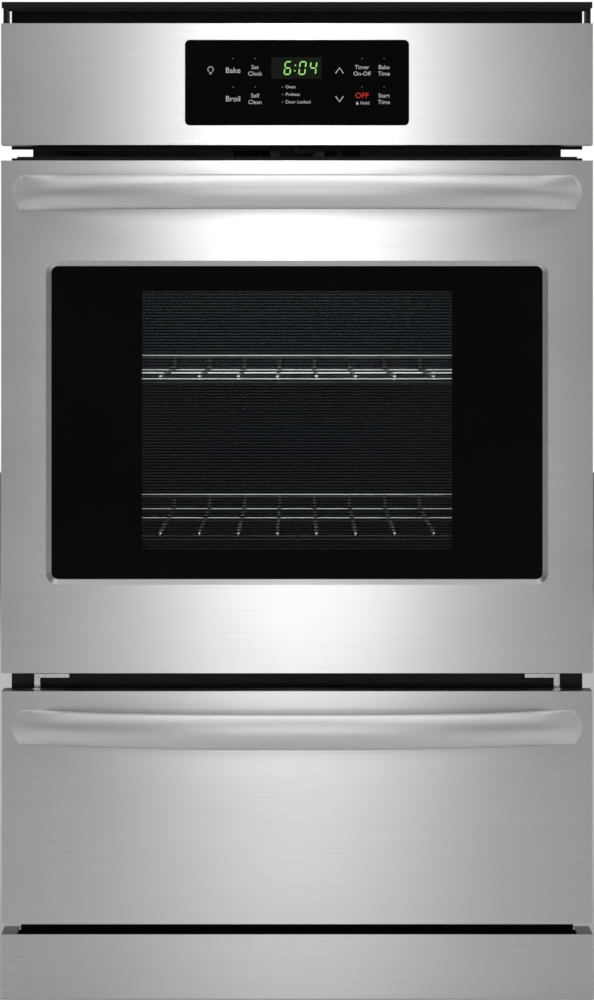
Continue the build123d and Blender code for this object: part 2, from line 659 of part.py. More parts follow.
latch_cut = (-5.0, latch_reach + 3.0, latch_y - 8.0, latch_y + 2.0)
with BuildPart() as door_skin:
    block(-half_front, half_front, front_y, front_y + shell_depth, door_bottom, door_top)
    block(-half_front + sheet, half_front - sheet, front_y + sheet, front_y + shell_depth - sheet,
          door_bottom + sheet, door_top - sheet, Mode.SUBTRACT)
    block(-liner_x, liner_x, front_y + 10, front_y + shell_depth + 1, liner_z0, liner_z1, Mode.SUBTRACT)
    outer_w, outer_h = window_width + 2 * bezel_width, window_height + 2 * bezel_width
    with BuildSketch(facing(front_y + 5)):
        with Locations((0, window_z)):
            RectangleRounded(outer_w, outer_h, window_radius + bezel_width)
    extrude(amount=10, mode=Mode.SUBTRACT)
    for grow, mode in ((1.5, Mode.ADD), (0.0, Mode.SUBTRACT)):
        with BuildSketch(facing(front_y)) as near:
            with Locations((0, window_z)):
                RectangleRounded(outer_w + 2 * grow, outer_h + 2 * grow, window_radius + bezel_width + grow)
        with BuildSketch(facing(front_y + bezel_depth)) as far:
            with Locations((0, window_z)):
                RectangleRounded(window_width + 2 * grow, window_height + 2 * grow, window_radius + grow)
        loft(sections=[near.sketch.face(), far.sketch.face()], mode=mode)
    arm_wells(door_bottom + 10)
    block(latch_cut[0], latch_cut[1], latch_cut[2], latch_cut[3], door_top - 5, door_top + 1, Mode.SUBTRACT)
door_skin.part.label = "door_skin"
export_step(door_skin.part, "parts/door_skin.step")

outer_glass_y = front_y + bezel_depth
with BuildPart() as door_glass:
    with BuildSketch(facing(outer_glass_y + outer_glass_sheet)):
        with Locations((0, window_z)):
            RectangleRounded(window_width + 2 * glass_lap, window_height + 2 * glass_lap, window_radius)
    extrude(amount=outer_glass_sheet)
door_glass.part.label = "door_glass"
export_step(door_glass.part, "parts/door_glass.step")

view_z0 = door_bottom + view_rise
view_z1 = view_z0 + view_height
view_half = view_width / 2
with BuildPart() as door_liner:
    block(-liner_x, liner_x, front_y + 8, door_back_y, liner_z0, liner_z1)
    block(-liner_x + sheet, liner_x - sheet, front_y + 7, door_back_y - sheet, liner_z0 + sheet,
          liner_z1 - sheet, Mode.SUBTRACT)
    block(-view_half, view_half, -20, 0, view_z0, view_z1, Mode.SUBTRACT)
    arm_wells(pivot_z + 9)
    block(latch_cut[0], latch_cut[1], latch_cut[2], latch_cut[3], door_top - 8, door_top + 1, Mode.SUBTRACT)
door_liner.part.label = "door_liner"
export_step(door_liner.part, "parts/door_liner.step")

pane = 4.0
pane_lap = 11.0
inner_pane_y = door_back_y - sheet
middle_pane_y = inner_pane_y - pane - 8.0
with BuildPart() as inner_glass:
    for y in (inner_pane_y, middle_pane_y):
        block(-view_half - pane_lap, view_half + pane_lap, y - pane, y, view_z0 - pane_lap, view_z1 + pane_lap)
inner_glass.part.label = "inner_glass"
export_step(inner_glass.part, "parts/inner_glass.step")

retainer_lap = 26.0
retainer_front_y = middle_pane_y - pane - 5.0
with BuildPart() as glass_retainer:
    lap = retainer_lap
    block(-view_half - lap, view_half + lap, retainer_front_y, inner_pane_y - pane, view_z0 - lap, view_z1 + lap)
    block(-view_half, view_half, retainer_front_y - 1, inner_pane_y, view_z0, view_z1, Mode.SUBTRACT)
    block(-view_half - pane_lap, view_half + pane_lap, middle_pane_y - pane, middle_pane_y, view_z0 - pane_lap,
          view_z1 + pane_lap, Mode.SUBTRACT)
glass_retainer.part.label = "glass_retainer"
export_step(glass_retainer.part, "parts/glass_retainer.step")

with BuildPart() as door_insulation:
    fill = 1.5
    block(-liner_x + sheet + fill, liner_x - sheet - fill, front_y + 10, door_back_y - sheet - 0.5,
          liner_z0 + sheet + fill, liner_z1 - sheet - fill)
    lap = retainer_lap + 1
    block(-view_half - lap, view_half + lap, front_y, 0, view_z0 - lap, view_z1 + lap, Mode.SUBTRACT)
    for side in (-1, 1):
        x = side * hinge_x
        block(x - arm_well, x + arm_well, -35, 0, door_bottom, channel_top + 4, Mode.SUBTRACT)
    block(-30, 30, front_y, 0, door_top - 30, door_top, Mode.SUBTRACT)
door_insulation.part.label = "door_insulation"
export_step(door_insulation.part, "parts/door_insulation.step")

gasket_inset, gasket_width = 9.0, 10.0
with BuildPart() as door_gasket:
    edge_x, edge_z0, edge_z1 = liner_half + 4 + gasket_width, liner_bottom - 13.0, liner_top + 13.0
    with BuildSketch(facing(flange_front_y - gasket_clearance)):
        with Locations((0, (edge_z0 + edge_z1) / 2)):
            RectangleRounded(2 * edge_x, edge_z1 - edge_z0, 16)
            RectangleRounded(2 * (edge_x - gasket_width), edge_z1 - edge_z0 - 2 * gasket_width, 7,
                             mode=Mode.SUBTRACT)
    extrude(amount=flange_front_y - gasket_clearance - door_back_y)
door_gasket.part.label = "door_gasket"
export_step(door_gasket.part, "parts/door_gasket.step")

with BuildPart() as door_top_trim:
    block(-liner_x, liner_x, front_y + 4, door_back_y, door_top, door_top + 4)
    block(-liner_x, liner_x, front_y + shell_depth, door_back_y, liner_z1, door_top)
    with BuildSketch(Plane.XY.offset(door_top)):
        for x0, x1 in vent_slots:
            with Locations(((x0 + x1) / 2, front_y + 13)):
                SlotOverall(x1 - x0 - 10, 7)
    extrude(amount=10, both=True, mode=Mode.SUBTRACT)
    block(latch_cut[0], latch_cut[1], latch_cut[2], latch_cut[3], door_top - 8, door_top + 5, Mode.SUBTRACT)
door_top_trim.part.label = "door_top_trim"
export_step(door_top_trim.part, "parts/door_top_trim.step")


def handle(z_centre):
    """Bow handle: a flat middle arc, an arc down to the face at each end, and arched end caps."""
    half = handle_length / 2
    shoulder_y = front_y - handle_bow * 0.884
    inner_shoulder = shoulder_y + handle_thickness
    foot = half - 34
    with BuildPart() as bar:
        with BuildSketch(Plane.XY.offset(z_centre - handle_height / 2)):
            with BuildLine():
                middle = ThreePointArc((-handle_shoulder, shoulder_y), (0, front_y - handle_bow),
                                       (handle_shoulder, shoulder_y))
                TangentArc((handle_shoulder, shoulder_y), (half, front_y), tangent=middle % 1)
                Line((half, front_y), (foot, front_y))
                inner = ThreePointArc((-handle_shoulder, inner_shoulder),
                                      (0, front_y - handle_bow + handle_thickness),
                                      (handle_shoulder, inner_shoulder))
                TangentArc((handle_shoulder, inner_shoulder), (foot, front_y), tangent=inner % 1)
                TangentArc((-handle_shoulder, inner_shoulder), (-foot, front_y), tangent=(inner % 0) * -1)
                Line((-foot, front_y), (-half, front_y))
                TangentArc((-handle_shoulder, shoulder_y), (-half, front_y), tangent=(middle % 0) * -1)
            make_face()
        extrude(amount=handle_height)
        with BuildSketch(facing(front_y + 5)):
            with BuildLine():
                corner = half - handle_end_sagitta
                low, high = z_centre - handle_height / 2, z_centre + handle_height / 2
                Line((-corner, low), (corner, low))
                ThreePointArc((corner, low), (half, z_centre), (corner, high))
                Line((corner, high), (-corner, high))
                ThreePointArc((-corner, high), (-half, z_centre), (-corner, low))
            make_face()
        extrude(amount=handle_bow + 20, mode=Mode.INTERSECT)
    return bar.part


write(handle(door_top - door_handle_drop), "door_handle")

# ================= broiler drawer =================
box_z0 = drawer_bottom + box_rise
box_z1 = box_z0 + box_height
drawer_back_face = front_y + shell_depth
drawer_half = half_front - 0.5
with BuildPart() as drawer_front:
    block(-drawer_half, drawer_half, front_y, drawer_back_face, drawer_bottom, drawer_top)
    block(-drawer_half + sheet, drawer_half - sheet, front_y + sheet, drawer_back_face + 1,
          drawer_bottom + sheet, drawer_top - sheet, Mode.SUBTRACT)
    fillet(drawer_front.edges().filter_by(Axis.Y).group_by(Axis.Z)[0], 3)
drawer_front.part.label = "drawer_front"
export_step(drawer_front.part, "parts/drawer_front.step")

with BuildPart() as drawer_box:
    block(-drawer_half, drawer_half, drawer_back_face, drawer_back_face + sheet, drawer_bottom + 8, drawer_top - 8)
    block(-box_half, box_half, drawer_back_face, box_back_y, box_z0, box_z1)
    block(-box_half + sheet, box_half - sheet, drawer_back_face + sheet, box_back_y - sheet, box_z0 + sheet,
          box_z1 + 1, Mode.SUBTRACT)
drawer_box.part.label = "drawer_box"
export_step(drawer_box.part, "parts/drawer_box.step")

write(handle(drawer_top - drawer_handle_drop), "drawer_handle")

channel_x = opening_half - 1.0
channel_z0, channel_z1 = slide_z - channel_height / 2, slide_z + channel_height / 2
roller_x = channel_x - sheet - 2 - roller_width / 2
front_roller_y, rear_roller_y = 14.0, box_back_y - 22.0
with BuildPart() as slide_channels:
    for side in (-1, 1):
        web = sorted((side * channel_x, side * (channel_x - sheet)))
        lip = sorted((side * channel_x, side * (channel_x - channel_flange)))
        arm = sorted((side * channel_x, side * inner_half))
        block(*web, 2, 470, channel_z0, channel_z1)
        for z0 in (channel_z0, channel_z1 - sheet):
            block(*lip, front_roller_y + front_roller_radius + 3, 470, z0, z0 + sheet)
        for y in (60, 400):
            block(*arm, y, y + 30, slide_z - 8, slide_z + 8)
        rod((side * (channel_x - 7), front_roller_y, slide_z), 3, 13, "X")
slide_channels.part.label = "slide_channels"
export_step(slide_channels.part, "parts/slide_channels.step")

runner_z = slide_z + front_roller_radius + 0.3
with BuildPart() as drawer_rails:
    for side in (-1, 1):
        web = sorted((side * box_half, side * (box_half + sheet)))
        shelf = sorted((side * box_half, side * (roller_x + roller_width / 2)))
        block(*web, drawer_back_face + sheet, box_back_y, slide_z - 14, runner_z + sheet)
        block(*shelf, drawer_back_face + sheet, rear_roller_y - rear_roller_radius - 3, runner_z, runner_z + sheet)
        axle = (box_half + roller_x + roller_width / 2) / 2
        rod((side * axle, rear_roller_y, slide_z), 3, roller_x + roller_width / 2 - box_half, "X")
drawer_rails.part.label = "drawer_rails"
export_step(drawer_rails.part, "parts/drawer_rails.step")


def rollers(radius, y):
    """A pair of nylon rollers, left and right, on one axis."""
    with BuildPart() as pair:
        for side in (-1, 1):
            centre = (side * roller_x, y, slide_z)
            rod(centre, radius, roller_width, "X")
            rod(centre, 3 + running_gap, roller_width + 2, "X", Mode.SUBTRACT)
    return pair.part


write(rollers(front_roller_radius, front_roller_y), "front_rollers")
write(rollers(rear_roller_radius, rear_roller_y), "rear_rollers")

bracket_width, bracket_leg, bracket_reach = 6.0, 4.0, 36.0
bracket_top = door_bottom - 5.0
with BuildPart() as corner_brackets:
    for side in (-1, 1):
        outer = side * (inner_half - 0.8)
        post = sorted((outer, outer - side * bracket_width))
        leg = sorted((outer, outer - side * bracket_reach))
        block(*post, -frame_sheet - 6, -frame_sheet, drawer_bottom + 12, bracket_top)
        block(*leg, -frame_sheet - 6, -frame_sheet, bracket_top - bracket_leg, bracket_top)
corner_brackets.part.label = "corner_brackets"
export_step(corner_brackets.part, "parts/corner_brackets.step")

# ================= broiler pan and grid, in the drawer =================
pan_half_x, pan_y0, pan_y1, pan_height = 200.0, 30.0, 380.0, 42.0
pan_z = box_z0 + sheet
with BuildPart() as broiler_pan:
    block(-pan_half_x, pan_half_x, pan_y0, pan_y1, pan_z, pan_z + pan_height)
    fillet(broiler_pan.edges().filter_by(Axis.Z), 24)
    offset(amount=-1.5, openings=broiler_pan.faces().sort_by(Axis.Z)[-1])
    with BuildSketch(Plane.XY.offset(pan_z + pan_height - 1.5)):
        with Locations((0, (pan_y0 + pan_y1) / 2)):
            RectangleRounded(2 * pan_half_x + 20, pan_y1 - pan_y0 + 20, 30)
            RectangleRounded(2 * pan_half_x - 3, pan_y1 - pan_y0 - 3, 22.5, mode=Mode.SUBTRACT)
    extrude(amount=1.5)
broiler_pan.part.label = "broiler_pan"
export_step(broiler_pan.part, "parts/broiler_pan.step")

with BuildPart() as broiler_grid:
    with BuildSketch(Plane.XY.offset(pan_z + pan_height)):
        with Locations((0, (pan_y0 + pan_y1) / 2)):
            RectangleRounded(2 * pan_half_x + 10, pan_y1 - pan_y0 + 10, 26)
            with GridLocations(26, 96, 14, 3):
                SlotOverall(80, 6, rotation=90, mode=Mode.SUBTRACT)
    extrude(amount=1.5)
broiler_grid.part.label = "broiler_grid"
export_step(broiler_grid.part, "parts/broiler_grid.step")


# ================= racks =================
rack_half = liner_half - rack_side_gap
rack_back_y = rack_front_y + rack_depth


def rack(bottom):
    """Wire rack: a closed rim, a middle cross wire and lengthwise wires that turn up into a rear guard."""
    rim_z = bottom + rack_wire / 2
    wire_z = rim_z + rack_wire / 2 + grid_wire / 2 - 1.3
    rim_x = rack_half - rack_wire / 2
    with BuildPart() as grid:
        with BuildLine(Plane.XY.offset(rim_z)) as rim:
            FilletPolyline((rim_x, rack_front_y), (rim_x, rack_back_y), (-rim_x, rack_back_y),
                           (-rim_x, rack_front_y), radius=12, close=True)
        with BuildSketch(Plane(origin=rim.line @ 0, z_dir=rim.line % 0)):
            Circle(rack_wire / 2)
        sweep()
        rod((0, rack_front_y + rack_middle, rim_z), rack_wire / 2, 2 * rim_x, "X")
        reach = (grid_count - 1) * grid_pitch / 2
        for column in range(grid_count):
            x = -reach + column * grid_pitch
            with BuildLine() as run:
                FilletPolyline((x, rack_front_y - 2, rim_z), (x, rack_front_y + 3, wire_z),
                               (x, rack_back_y - 14, wire_z), (x, rack_back_y, wire_z + rack_guard), radius=1.5)
            with BuildSketch(Plane(origin=run.line @ 0, z_dir=run.line % 0)):
                Circle(grid_wire / 2)
            sweep()
        rod((0, rack_back_y, wire_z + rack_guard), grid_wire / 2 + 0.5, 2 * reach + 8, "X")
    return grid.part


for name, level in zip(("lower_rack", "upper_rack"), rack_levels):
    write(rack(rack_bottoms[level] + 0.1), name)

# ================= fasteners =================
with BuildPart() as chassis_screws:
    for x, z in screw_points:
        with BuildSketch(facing(back_y + 3)):
            with Locations((x, z)):
                RegularPolygon(4, 6)
        extrude(amount=3)
        rod((x, back_y - 3, z), screw_shank, 6, "Y")
chassis_screws.part.label = "chassis_screws"
export_step(chassis_screws.part, "parts/chassis_screws.step")
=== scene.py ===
import bmesh
import bpy
import math
import numpy as np
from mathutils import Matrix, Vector


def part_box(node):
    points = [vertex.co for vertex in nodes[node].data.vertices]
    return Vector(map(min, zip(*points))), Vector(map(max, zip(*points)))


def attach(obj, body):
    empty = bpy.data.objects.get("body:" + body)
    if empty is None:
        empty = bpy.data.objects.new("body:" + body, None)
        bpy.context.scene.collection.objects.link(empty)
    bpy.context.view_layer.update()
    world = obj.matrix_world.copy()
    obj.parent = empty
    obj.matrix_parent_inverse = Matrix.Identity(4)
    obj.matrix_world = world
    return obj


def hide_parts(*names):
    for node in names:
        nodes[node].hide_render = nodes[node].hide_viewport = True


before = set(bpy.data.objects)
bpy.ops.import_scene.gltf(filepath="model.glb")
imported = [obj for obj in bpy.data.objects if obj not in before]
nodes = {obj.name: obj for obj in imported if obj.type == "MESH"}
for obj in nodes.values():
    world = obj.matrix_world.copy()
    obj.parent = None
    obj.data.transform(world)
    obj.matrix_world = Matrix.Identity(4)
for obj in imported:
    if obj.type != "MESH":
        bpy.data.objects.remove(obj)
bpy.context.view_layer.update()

# ---- camera, light, floor
view = {"distance": 3.2, "height": 0.730, "lens": 112.5, "shiftUp": -0.214}
light = {"backWhite": 1.0, "ambient": 0.13, "frontPower": 14.0, "frontWidth": 0.40, "frontTall": 2.6,
         "frontHeight": 0.80, "frontAway": 3.5, "topPower": 12.0, "sidePower": 5.0, "sideAway": 2.4,
         "roomPower": 62.0, "backPower": 16.0, "cavityPower": 0.85, "cavityHeight": 0.811}
floorForm = {"half": 9.0, "drop": 0.0005, "tone": 0.86, "toneSpread": 0.02}
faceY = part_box("door_skin")[0][1]


def addArea(name, place, aim, size, power):  # a rectangular lamp turned from place towards aim
    lamp = bpy.data.lights.new(name, "AREA")
    lamp.shape, lamp.size, lamp.size_y, lamp.energy = "RECTANGLE", size[0], size[1], power
    lampObject = bpy.data.objects.new(name, lamp)
    bpy.context.collection.objects.link(lampObject)
    lampObject.location = place
    lampObject.visible_camera = False
    lampObject.rotation_euler = (Vector(aim) - Vector(place)).to_track_quat("-Z", "Y").to_euler()
    return lampObject


steelSet = bpy.data.collections.new("steelSet")  # the front lamp is kept off the glass and lights these alone
roomSet = bpy.data.collections.new("roomSet")  # the floor and the casing, lit from overhead and behind


def setStudio():
    camera = bpy.data.objects.new("camera", bpy.data.cameras.new("camera"))
    bpy.context.collection.objects.link(camera)
    camera.data.lens, camera.data.shift_y = view["lens"], view["shiftUp"]
    camera.data.clip_end = 60
    camera.location = (0, faceY - view["distance"], view["height"])
    camera.rotation_euler = (math.pi / 2, 0, 0)
    bpy.context.scene.camera = camera
    bpy.context.scene.view_settings.view_transform = "Standard"
    frontLamp = addArea("frontLamp", (0, faceY - light["frontAway"], light["frontHeight"]), (0, faceY, 0.6),
                        (light["frontWidth"], light["frontTall"]), light["frontPower"])
    frontLamp.light_linking.receiver_collection = steelSet
    addArea("topLamp", (0, -0.9, 2.7), (0, 0.1, 0.5), (1.6, 1.2), light["topPower"])
    for side in (-1, 1):
        addArea("sideLamp", (side * light["sideAway"], -0.6, 1.5), (0, 0.1, 0.5), (1.0, 1.6),
                light["sidePower"])
    roomLamp = addArea("roomLamp", (0, 0.4, 4.2), (0, 0.3, 0), (4.5, 4.5), light["roomPower"])
    backLamp = addArea("backLamp", (0, 3.4, 1.9), (0, 0.4, 0.5), (3.0, 1.6), light["backPower"])
    for lamp in (roomLamp, backLamp):
        lamp.light_linking.receiver_collection = roomSet
    addArea("cavityLamp", (0, 0.17, light["cavityHeight"]), (0, 0.171, 0.45), (0.40, 0.26),
            light["cavityPower"])
    world = bpy.data.worlds.new("studio")
    bpy.context.scene.world = world
    world.use_nodes = True
    tree = world.node_tree
    tree.nodes.clear()
    seen = tree.nodes.new("ShaderNodeBackground")
    seen.inputs[0].default_value, seen.inputs[1].default_value = (1, 1, 1, 1), light["backWhite"]
    lit = tree.nodes.new("ShaderNodeBackground")
    lit.inputs[0].default_value, lit.inputs[1].default_value = (1, 1, 1, 1), light["ambient"]
    path = tree.nodes.new("ShaderNodeLightPath")
    pick = tree.nodes.new("ShaderNodeMixShader")
    out = tree.nodes.new("ShaderNodeOutputWorld")
    tree.links.new(path.outputs["Is Camera Ray"], pick.inputs[0])
    tree.links.new(lit.outputs[0], pick.inputs[1])
    tree.links.new(seen.outputs[0], pick.inputs[2])
    tree.links.new(pick.outputs[0], out.inputs[0])
    floorMesh = bpy.data.meshes.new("floor")
    half, floorZ = floorForm["half"], -floorForm["drop"]
    corners = [(-half, -half, floorZ), (half, -half, floorZ), (half, half, floorZ), (-half, half, floorZ)]
    floorMesh.from_pydata(corners, [], [(0, 1, 2, 3)])
    floor = bpy.data.objects.new("floor", floorMesh)
    bpy.context.collection.objects.link(floor)
    floorMesh.materials.append(floorFinish())
    roomSet.objects.link(floor)


# ---- shader building blocks
def newFinish(name, **fixed):  # a material with one Principled shader; fixed holds its constant sockets
    finish = bpy.data.materials.new(name)
    finish.use_nodes = True
    shader = finish.node_tree.nodes["Principled BSDF"]
    for socket, value in fixed.items():
        target = shader.inputs[socket.replace("_", " ")]
        target.default_value = (*value, 1) if isinstance(value, tuple) and len(value) == 3 else value
    return finish, finish.node_tree, shader


def place(tree, stretch):  # object coordinates times stretch
    where = tree.nodes.new("ShaderNodeTexCoord")
    grow = tree.nodes.new("ShaderNodeMapping")
    grow.inputs["Scale"].default_value = stretch
    tree.links.new(where.outputs["Object"], grow.inputs[0])
    return grow.outputs[0]


def noise(tree, stretch, detail=3.0, rough=0.5):
    grain = tree.nodes.new("ShaderNodeTexNoise")
    grain.inputs["Scale"].default_value = 1.0
    grain.inputs["Detail"].default_value = detail
    grain.inputs["Roughness"].default_value = rough
    tree.links.new(place(tree, stretch), grain.inputs[0])
    return grain.outputs[0]


def ramp(tree, source, stops):  # colour ramp; stops are (position, colour)
    band = tree.nodes.new("ShaderNodeValToRGB")
    while len(band.color_ramp.elements) < len(stops):
        band.color_ramp.elements.new(0.5)
    for element, (at, colour) in zip(band.color_ramp.elements, stops):
        element.position, element.color = at, (*colour, 1)
    tree.links.new(source, band.inputs[0])
    return band.outputs[0]


def spread(tree, source, low, high):  # maps 0..1 on to low..high
    mapped = tree.nodes.new("ShaderNodeMapRange")
    mapped.inputs[3].default_value, mapped.inputs[4].default_value = low, high
    tree.links.new(source, mapped.inputs[0])
    return mapped.outputs[0]


def bump(tree, shader, height, depth, strength=0.5):
    relief = tree.nodes.new("ShaderNodeBump")
    relief.inputs["Distance"].default_value = depth
    relief.inputs["Strength"].default_value = strength
    tree.links.new(height, relief.inputs["Height"])
    tree.links.new(relief.outputs[0], shader.inputs["Normal"])


def floorFinish():
    finish, tree, shader = newFinish("studioFloor", Roughness=0.9, Specular_IOR_Level=0.05)
    tone = floorForm["tone"]
    pale = tone + floorForm["toneSpread"]
    tree.links.new(ramp(tree, noise(tree, (3, 3, 3)), [(0.3, (tone,) * 3), (0.7, (pale,) * 3)]),
                   shader.inputs["Base Color"])
    return finish


brush = {"fine": 2600.0, "long": 6.0, "rough": 0.30, "aniso": 0.82}


def brushedFinish(name, tone, rough=None, aniso=None):  # fine grooves drawn out across the width
    finish, tree, shader = newFinish(name, Metallic=1.0, Anisotropic=aniso or brush["aniso"],
                                     Anisotropic_Rotation=0.25)
    rough = rough or brush["rough"]
    fine, long = brush["fine"], brush["long"]
    grooves = noise(tree, (long, fine / 3, fine), 4, 0.65)
    low = tuple(max(0.0, c - 0.05) for c in tone)
    high = tuple(min(1.0, c + 0.03) for c in tone)
    tree.links.new(ramp(tree, grooves, [(0.35, low), (0.65, high)]), shader.inputs["Base Color"])
    patch = noise(tree, (7, 7, 11), 2)
    tree.links.new(spread(tree, patch, rough - 0.03, rough + 0.03), shader.inputs["Roughness"])
    bump(tree, shader, grooves, 0.00004, 0.12)
    around = tree.nodes.new("ShaderNodeTangent")
    around.direction_type, around.axis = "RADIAL", "Z"
    tree.links.new(around.outputs[0], shader.inputs["Tangent"])
    return finish


def sheetMetal(name, tone, cell=90.0, rough=0.42, spangle=0.10):  # spangled zinc coat: cells of uneven grey
    finish, tree, shader = newFinish(name, Metallic=1.0)
    cells = tree.nodes.new("ShaderNodeTexVoronoi")
    cells.inputs["Scale"].default_value = cell
    tree.links.new(place(tree, (1, 1, 1)), cells.inputs["Vector"])
    grey = tree.nodes.new("ShaderNodeRGBToBW")
    tree.links.new(cells.outputs["Color"], grey.inputs[0])
    low, high = tuple(c * (1 - spangle) for c in tone), tuple(min(1, c * (1 + spangle)) for c in tone)
    tree.links.new(ramp(tree, grey.outputs[0], [(0.2, low), (0.8, high)]), shader.inputs["Base Color"])
    tree.links.new(spread(tree, grey.outputs[0], rough - spangle / 2, rough + spangle / 2),
                   shader.inputs["Roughness"])
    bump(tree, shader, noise(tree, (220, 220, 220)), 0.0002, 0.15)
    return finish


def coated(name, tone, rough=0.4, fine=900.0, metallic=0.0, depth=0.0002):  # finely textured paint or moulding
    finish, tree, shader = newFinish(name, Metallic=metallic, Coat_Weight=0.0, Coat_Roughness=0.1)
    grain = noise(tree, (fine, fine, fine), 2)
    low, high = tuple(c * 0.85 for c in tone), tuple(min(1, c * 1.15) for c in tone)
    tree.links.new(ramp(tree, grain, [(0.35, low), (0.65, high)]), shader.inputs["Base Color"])
    tree.links.new(spread(tree, noise(tree, (9, 9, 9)), rough - 0.05, rough + 0.06),
                   shader.inputs["Roughness"])
    bump(tree, shader, grain, depth, 0.2)
    return finish


# glossy coat with pale specks
def enamelFinish(name, tone=(0.02, 0.025, 0.035), speck=(0.4, 0.42, 0.48), rough=0.16):
    finish, tree, shader = newFinish(name, Coat_Weight=0.4, Coat_Roughness=0.08)
    dots = tree.nodes.new("ShaderNodeTexVoronoi")
    dots.inputs["Scale"].default_value = 420
    tree.links.new(place(tree, (1, 1, 1)), dots.inputs["Vector"])
    tree.links.new(ramp(tree, dots.outputs["Distance"], [(0.10, speck), (0.17, tone)]),
                   shader.inputs["Base Color"])
    tree.links.new(spread(tree, noise(tree, (14, 14, 14)), rough - 0.04, rough + 0.08),
                   shader.inputs["Roughness"])
    bump(tree, shader, noise(tree, (120, 120, 120)), 0.0002, 0.2)
    return finish


def woolFinish(name, tone):
    finish, tree, shader = newFinish(name, Roughness=0.95, Sheen_Weight=0.3)
    fluff = noise(tree, (160, 160, 320), 6, 0.7)
    tree.links.new(ramp(tree, fluff, [(0.3, tuple(c * 0.7 for c in tone)), (0.7, tone)]),
                   shader.inputs["Base Color"])
    bump(tree, shader, fluff, 0.002, 0.7)
    return finish


def paneGlass(name, tone):  # thin clear pane: lets light straight through, shines at the edges by Fresnel
    finish, tree, shader = newFinish(name, Roughness=0.03)
    pale = tuple(min(1, c * 1.02) for c in tone)
    tree.links.new(ramp(tree, noise(tree, (6, 6, 6)), [(0.3, tone), (0.7, pale)]),
                   shader.inputs["Base Color"])
    through = tree.nodes.new("ShaderNodeBsdfTransparent")
    through.inputs[0].default_value = (*tone, 1)
    edge = tree.nodes.new("ShaderNodeFresnel")
    edge.inputs[0].default_value = 1.3
    both = tree.nodes.new("ShaderNodeMixShader")
    tree.links.new(edge.outputs[0], both.inputs[0])
    tree.links.new(through.outputs[0], both.inputs[1])
    tree.links.new(shader.outputs[0], both.inputs[2])
    tree.links.new(both.outputs[0], tree.nodes["Material Output"].inputs[0])
    return finish


def clearGlass(name, tone, rough=0.02, see=0.85):
    finish, tree, shader = newFinish(name, Transmission_Weight=see, IOR=1.5)
    pale = tuple(min(1, c * 1.03) for c in tone)
    tree.links.new(ramp(tree, noise(tree, (30, 30, 30)), [(0.3, tone), (0.7, pale)]),
                   shader.inputs["Base Color"])
    tree.links.new(spread(tree, noise(tree, (6, 6, 6)), rough, rough + 0.02), shader.inputs["Roughness"])
    return finish


window = {"halfWidth": 0.1590, "low": 0.4586, "high": 0.7247, "linePitch": 0.0031, "screen": 0.34}


def ovenGlass(name):  # black printed border; inside the window, printed lines over clear glass
    finish, tree, shader = newFinish(name, Roughness=0.03, IOR=1.5, Specular_IOR_Level=0.12)
    where = tree.nodes.new("ShaderNodeTexCoord")
    split = tree.nodes.new("ShaderNodeSeparateXYZ")
    tree.links.new(where.outputs["Object"], split.inputs[0])

    def calc(kind, a, b=None):
        step = tree.nodes.new("ShaderNodeMath")
        step.operation = kind
        for index, value in enumerate((a, b)):
            if isinstance(value, (int, float)):
                step.inputs[index].default_value = value
            elif value is not None:
                tree.links.new(value, step.inputs[index])
        return step.outputs[0]

    middle = (window["low"] + window["high"]) / 2
    insideX = calc("LESS_THAN", calc("ABSOLUTE", split.outputs[0]), window["halfWidth"])
    insideZ = calc("LESS_THAN", calc("ABSOLUTE", calc("SUBTRACT", split.outputs[2], middle)),
                   (window["high"] - window["low"]) / 2)
    inside = calc("MULTIPLY", insideX, insideZ)
    line = calc("FRACT", calc("MULTIPLY", split.outputs[2], 1 / window["linePitch"]))
    unprinted = calc("GREATER_THAN", line, window["screen"])
    smear = noise(tree, (5, 5, 5))
    tree.links.new(ramp(tree, smear, [(0.3, (0.004,) * 3), (0.7, (0.006,) * 3)]),
                   shader.inputs["Base Color"])
    through = tree.nodes.new("ShaderNodeBsdfTransparent")
    through.inputs[0].default_value = (0.80, 0.82, 0.82, 1)
    shine = tree.nodes.new("ShaderNodeBsdfGlossy")
    shine.inputs["Roughness"].default_value = 0.03
    edge = tree.nodes.new("ShaderNodeFresnel")
    edge.inputs[0].default_value = 1.45
    pane = tree.nodes.new("ShaderNodeMixShader")
    both = tree.nodes.new("ShaderNodeMixShader")
    out = tree.nodes["Material Output"]
    tree.links.new(edge.outputs[0], pane.inputs[0])
    tree.links.new(through.outputs[0], pane.inputs[1])
    tree.links.new(shine.outputs[0], pane.inputs[2])
    tree.links.new(calc("MULTIPLY", inside, unprinted), both.inputs[0])
    tree.links.new(shader.outputs[0], both.inputs[1])
    tree.links.new(pane.outputs[0], both.inputs[2])
    tree.links.new(both.outputs[0], out.inputs[0])
    return finish


def blackGlass(name):  # black from behind, faintly uneven in gloss
    finish, tree, shader = newFinish(name, Specular_IOR_Level=0.12)
    smear = noise(tree, (12, 12, 12), 2)
    tree.links.new(ramp(tree, smear, [(0.3, (0.0030, 0.0030, 0.0034)), (0.7, (0.0046, 0.0046, 0.0050))]),
                   shader.inputs["Base Color"])
    tree.links.new(spread(tree, smear, 0.05, 0.10), shader.inputs["Roughness"])
    return finish


def wireFinish(name, tone=(0.72, 0.72, 0.74), rough=0.30):
    finish, tree, shader = newFinish(name, Metallic=1.0)
    tint = noise(tree, (40, 40, 40), 3)
    tree.links.new(ramp(tree, tint, [(0.3, tuple(c * 0.9 for c in tone)), (0.7, tone)]),
                   shader.inputs["Base Color"])
    tree.links.new(spread(tree, tint, rough - 0.05, rough + 0.1), shader.inputs["Roughness"])
    bump(tree, shader, noise(tree, (400, 400, 400)), 0.0001, 0.15)
    return finish


